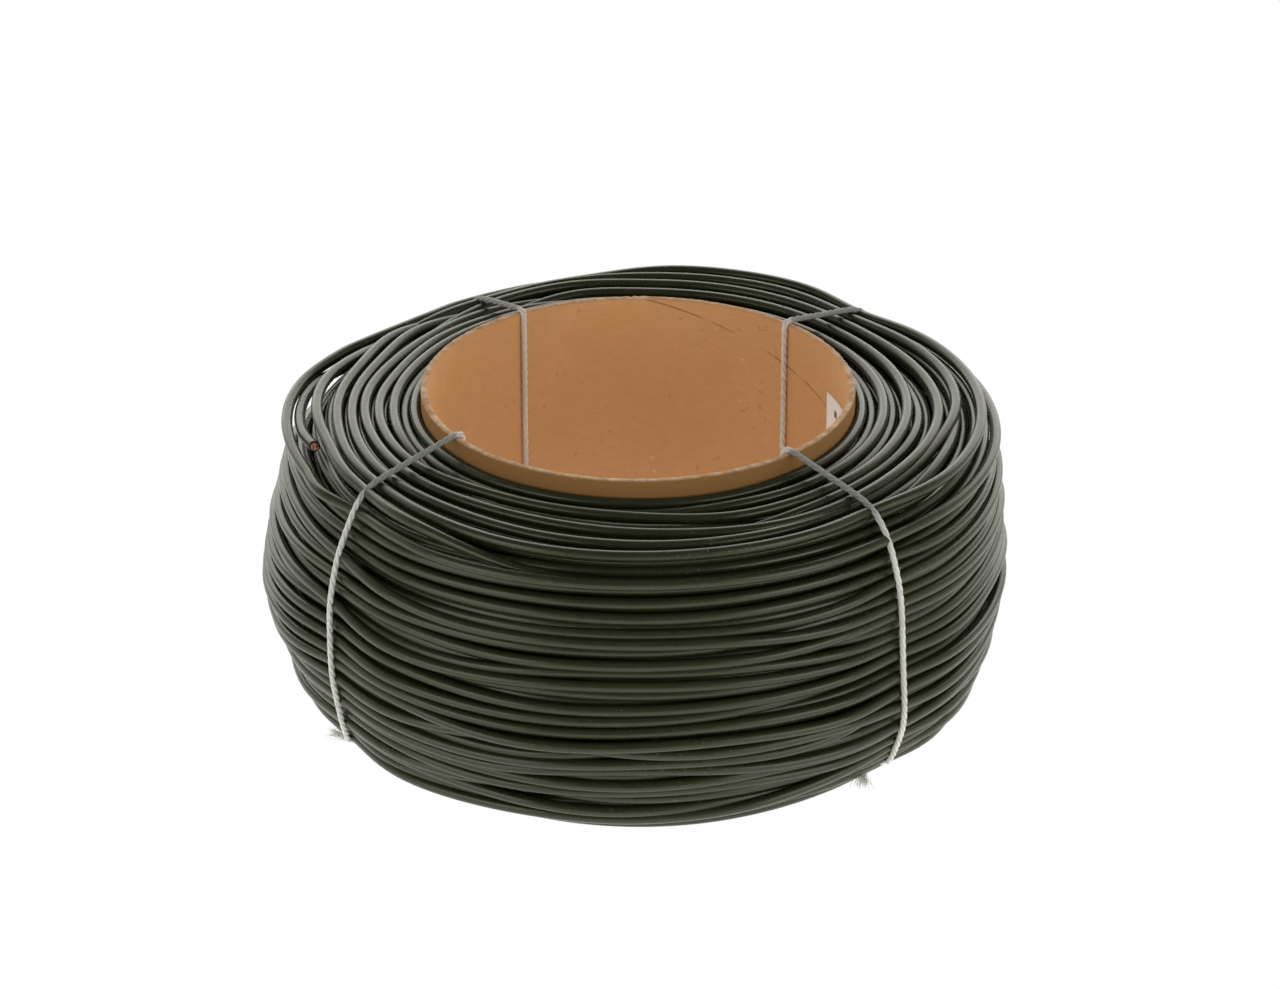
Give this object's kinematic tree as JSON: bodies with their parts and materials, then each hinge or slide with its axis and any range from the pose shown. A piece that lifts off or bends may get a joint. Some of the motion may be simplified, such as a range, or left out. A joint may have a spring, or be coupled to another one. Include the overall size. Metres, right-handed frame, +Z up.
{
  "type": "electric cable coil",
  "caption": "Black single-core electric cable wound on its end round a short card tube and held by twine ties, with a loose outer turn and a bare cut end.",
  "frame": {"origin": "on the axis of the card tube, at the floor the coil stands on", "axes": "+Z up along the card tube's axis, -Y towards the front seen in the picture, +X to the right seen from the front"},
  "size_m": [0.174, 0.174, 0.075],
  "materials": {
    "cable_sheath": "semi-matt black plastic sheath",
    "card": "plain brown wound card",
    "twine": "off-white twisted twine",
    "copper": "cut ends of fine copper strands",
    "label": "smooth white paper"
  },
  "bodies": {
    "root": {"core_tube": "card", "core_label": "label", "cable_winding": "cable_sheath", "loose_turn": "cable_sheath", "cable_tail": "cable_sheath", "conductor_end": "copper", "tie_back_right": "twine", "tie_back_left": "twine", "tie_front_left": "twine", "tie_front_right": "twine"}
  },
  "joints": []
}
